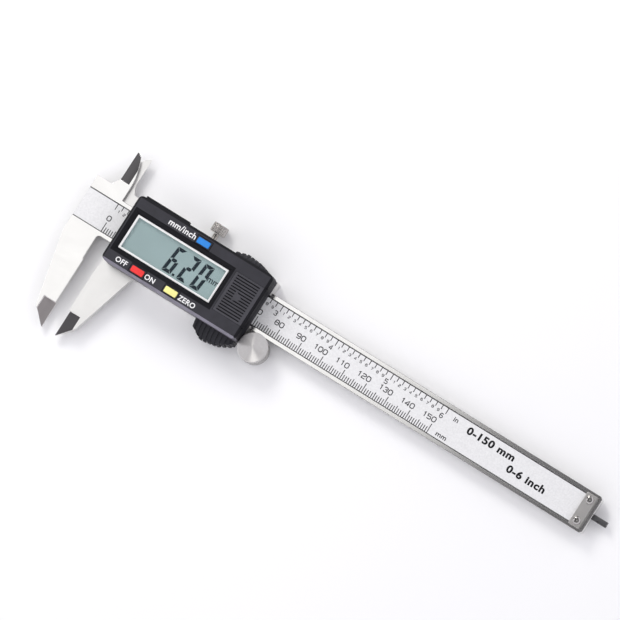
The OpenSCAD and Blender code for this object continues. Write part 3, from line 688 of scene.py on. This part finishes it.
def make_ruler_numbers():
    """The numerals of both scales and the names of their units."""
    surface = label_high.z
    low_y, high_y = label_low.y, label_high.y
    numeral, numeral_w, stroke = 1.85 * MM, 1.55 * MM, 0.36 * MM
    inch, inch_w, inch_stroke = 1.75 * MM, 1.2 * MM, 0.32 * MM
    small, small_w, small_stroke = 0.95 * MM, 0.8 * MM, 0.22 * MM
    gap = 0.9 * MM                  # between a centimetre's tick and its number
    shift = 0.5 * MM                # of a number's right end past its tick
    unit = 1.9 * MM
    numbers = bmesh.new()
    y = low_y + CM_TICK + gap + numeral / 2
    for i in range(0, 151, 10):
        if i == 0:
            ink_number(numbers, "0", zero_x, y, numeral, numeral_w, surface, stroke)
        else:
            ink_number(numbers, str(i), zero_x + i * MM + shift, y, numeral, numeral_w, surface,
                       stroke, "RIGHT")
    for i in range(1, 61):
        x = zero_x + i * INCH / 10
        if i % 10 == 0:
            ink_number(numbers, str(i // 10), x - 0.45 * MM, high_y - 3.9 * MM, inch, inch_w,
                       surface, inch_stroke, "RIGHT")
        else:
            ink_number(numbers, str(i % 10), x - 0.4 * MM, high_y - 2.6 * MM, small, small_w, surface,
                       small_stroke, "RIGHT")
    ink_text(numbers, "in", zero_x + 157.2 * MM, high_y - 2.3 * MM, unit, surface, 1.15,
             weight=0.03 * MM)
    ink_text(numbers, "mm", zero_x + 155.6 * MM, low_y + 2.0 * MM, unit, surface, 1.15,
             weight=0.04 * MM)
    add_piece("ruler_numbers", numbers, "beam", "label_film", ruler_ink_and_gap_shade)


def make_range_marking():
    """The ranges of both scales in bold words past the ruler: (words, x, y) in millimetres."""
    words = bmesh.new()
    for text, x, y in (("0-150 mm", 173.8, 9.3), ("0-6 inch", 192.6, 4.9)):
        ink_text(words, text, zero_x + x * MM, label_low.y + y * MM, 2.8 * MM, label_high.z, 1.2,
                 weight=0.16 * MM, spacing=1.1)
    add_piece("range_marking", words, "beam", "label_film", bold_ink)


# ---------- display ----------

SEGMENTS = {"0": "abcdef", "2": "abged", "6": "acdefg"}


def segment_outline(kind, width, height, stroke, gap):
    """One bar of a seven-segment digit, as (x, y) points from the digit's lower left corner."""
    half, mid = stroke / 2, height / 2
    if kind == "g":
        return [(half + gap, mid), (stroke, mid - half), (width - stroke, mid - half),
                (width - half - gap, mid), (width - stroke, mid + half), (stroke, mid + half)]
    if kind in "ad":
        edge, inner = (height, height - stroke) if kind == "a" else (0, stroke)
        return [(gap, edge), (width - gap, edge), (width - stroke - gap * 0.4, inner),
                (stroke + gap * 0.4, inner)]
    edge, inner = (0, stroke) if kind in "fe" else (width, width - stroke)
    low, high = (mid, height) if kind in "fb" else (0, mid)
    foot, head = (half, stroke) if kind in "fb" else (stroke, half)
    low_gap, high_gap = (gap * 0.7, gap) if kind in "fb" else (gap, gap * 0.7)
    return [(edge, low + low_gap), (inner, low + foot + low_gap * 0.4),
            (inner, high - head - high_gap * 0.4), (edge, high - high_gap)]


def make_reading():
    """The reading, 6.20 mm, in leaning seven-segment digits under the window."""
    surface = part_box("lcd_panel")[1].z
    lean = math.tan(math.radians(6))
    width, height, stroke, gap = 4.1, 10.9, 1.38, 0.15      # of a digit, in millimetres
    base_y = 0.75
    bm = bmesh.new()
    for digit, x in (("6", 17.9), ("2", 24.6), ("0", 30.6)):
        for kind in SEGMENTS[digit]:
            outline = segment_outline(kind, width, height, stroke, gap)
            points = [case_point(x + px + py * lean, base_y + py) for px, py in outline]
            prism(bm, points, surface - SINK, surface + LIFT)
    px, py = case_point(23.1, base_y + 0.5)
    dot = 0.5 * MM
    ink_box(bm, px - dot, py - dot, px + dot, py + dot, surface)
    px, py = case_point(37.9, 7.2)
    ink_text(bm, "mm", px, py, 2.5 * MM, surface, 0.95, weight=0.05 * MM)
    add_piece("display_reading", bm, "slider", "chip_black", digit_ink)


# ---------- CAD pieces that keep their shape ----------

def finish_cad_nodes():
    """Gives the carried-over nodes their materials."""
    finishes = {
        "scale_strip": strip, "scale_label": film, "gib_strip": bronze, "gib_set_screws": grub_steel,
        "depth_rod_pin": pin_steel, "housing_screws": screw_steel, "rear_label": rear_film,
        "lcd_window": window, "lcd_panel": display, "zebra_strips": rubber,
        "circuit_board": board, "sensor_board": board, "board_screws": screw_steel,
        "chip_cover": epoxy, "dome_switches": nickel, "port_contacts": gold,
        "battery_contact_plus": nickel, "battery_contact_minus": nickel, "battery_cell": nickel,
        "roller_axle": pin_steel, "roller_washer": bronze, "lock_pad": bronze,
    }
    for name, finish in finishes.items():
        mesh = frame["nodes"][name].data
        mesh.materials.clear()
        mesh.materials.append(finish)


# ---------- studio ----------

def make_floor():
    """A plain pale floor, just under the caliper."""
    floor_finish = Finish("floor", (0.90, 0.90, 0.90), 0.6, specular=0.2)
    floor_finish.mottle(floor_finish.noise(3, detail=2), 0.99, 1.01)
    bm = bmesh.new()
    bmesh.ops.create_grid(bm, x_segments=8, y_segments=8, size=3.0)
    mesh = bpy.data.meshes.new("floor")
    bm.to_mesh(mesh)
    bm.free()
    mesh.transform(Matrix.Translation((0, 0, -0.1 * MM)))
    mesh.materials.append(floor_finish.material)
    floor = bpy.data.objects.new("floor", mesh)
    bpy.context.scene.collection.objects.link(floor)


def make_surroundings():
    """A bright ring of light with a dark zenith and a dark flag on one side."""
    world = bpy.data.worlds.new("studio")
    bpy.context.scene.world = world
    world.use_nodes = True
    nodes, links = world.node_tree.nodes, world.node_tree.links
    background = nodes["Background"]
    direction = nodes.new("ShaderNodeTexCoord")
    split = nodes.new("ShaderNodeSeparateXYZ")
    ramp = nodes.new("ShaderNodeValToRGB")
    links.new(direction.outputs["Generated"], split.inputs["Vector"])
    links.new(split.outputs["Z"], ramp.inputs["Fac"])
    flag = nodes.new("ShaderNodeVectorMath")
    flag.operation = "DOT_PRODUCT"
    flag.inputs[1].default_value = (-0.8, 0.6, 0)       # the way towards the flag
    links.new(direction.outputs["Generated"], flag.inputs[0])
    shadow_side = nodes.new("ShaderNodeMapRange")
    shadow_side.interpolation_type = "SMOOTHSTEP"
    for socket, value in (("From Min", 0.55), ("From Max", 0.85), ("To Min", 1.0), ("To Max", 0.12)):
        shadow_side.inputs[socket].default_value = value
    links.new(flag.outputs["Value"], shadow_side.inputs["Value"])
    links.new(shadow_side.outputs["Result"], background.inputs["Strength"])
    links.new(ramp.outputs["Color"], background.inputs["Color"])
    # (sine of the height above the horizon, brightness)
    shades = ((0.02, 1.2), (0.30, 1.42), (0.70, 1.42), (0.86, 0.16), (1.0, 0.12))
    stops = ramp.color_ramp.elements
    while len(stops) < len(shades):
        stops.new(0.5)
    for stop, (height, shade) in zip(stops, shades):
        stop.position = height
        stop.color = (shade, shade * 0.99, shade * 1.045, 1)


def softbox(name, place, size, power, aim=(0, 0, 0), color=(1, 1, 1)):
    """Adds a soft rectangular light at place that shines towards aim."""
    light = bpy.data.lights.new(name, "AREA")
    light.shape = "RECTANGLE"
    light.size, light.size_y = size
    light.energy = power
    light.color = color
    lamp = bpy.data.objects.new(name, light)
    bpy.context.scene.collection.objects.link(lamp)
    lamp.location = place
    lamp.rotation_euler = (Vector(aim) - Vector(place)).to_track_quat("-Z", "Y").to_euler()


def make_lights():
    """A main light from the upper left and one that the flat steel mirrors."""
    softbox("main", (-0.85, 0.72, 0.75), (0.5, 0.5), 7.5, color=(1.0, 0.99, 0.96))
    softbox("overhead", (-0.41, 0.06, 0.60), (0.42, 0.60), 0.86, aim=(-0.24, 0.03, 0))


def make_camera():
    """A long lens looking down on the front, turned so that the beam runs to the lower right."""
    towards_camera = Vector((0.24, -0.065, 0.9686)).normalized()
    up_angle = math.radians(123.1)
    target = Vector((-21.7, 21.1, 5.15)) * MM
    distance = 10.0
    view_width = 235.9 * MM
    sensor = 36.0
    up = Vector((math.cos(up_angle), math.sin(up_angle), 0))
    right = up.cross(towards_camera).normalized()
    up = towards_camera.cross(right)
    camera = bpy.data.cameras.new("camera")
    camera.sensor_width = sensor
    camera.lens = sensor * distance / view_width
    camera.clip_end = 20.0
    holder = bpy.data.objects.new("camera", camera)
    bpy.context.scene.collection.objects.link(holder)
    turn = Matrix((right, up, towards_camera)).transposed()
    holder.matrix_world = Matrix.Translation(target + towards_camera * distance) @ turn.to_4x4()
    bpy.context.scene.camera = holder


make_steel()
make_stop_screws()
make_roller()
make_lock_screw()
make_housing()
make_case_lettering()
make_ruler_ticks()
make_ruler_numbers()
make_range_marking()
make_reading()
finish_cad_nodes()
make_floor()
make_surroundings()
make_lights()
make_camera()
bpy.context.scene.view_settings.view_transform = "Standard"
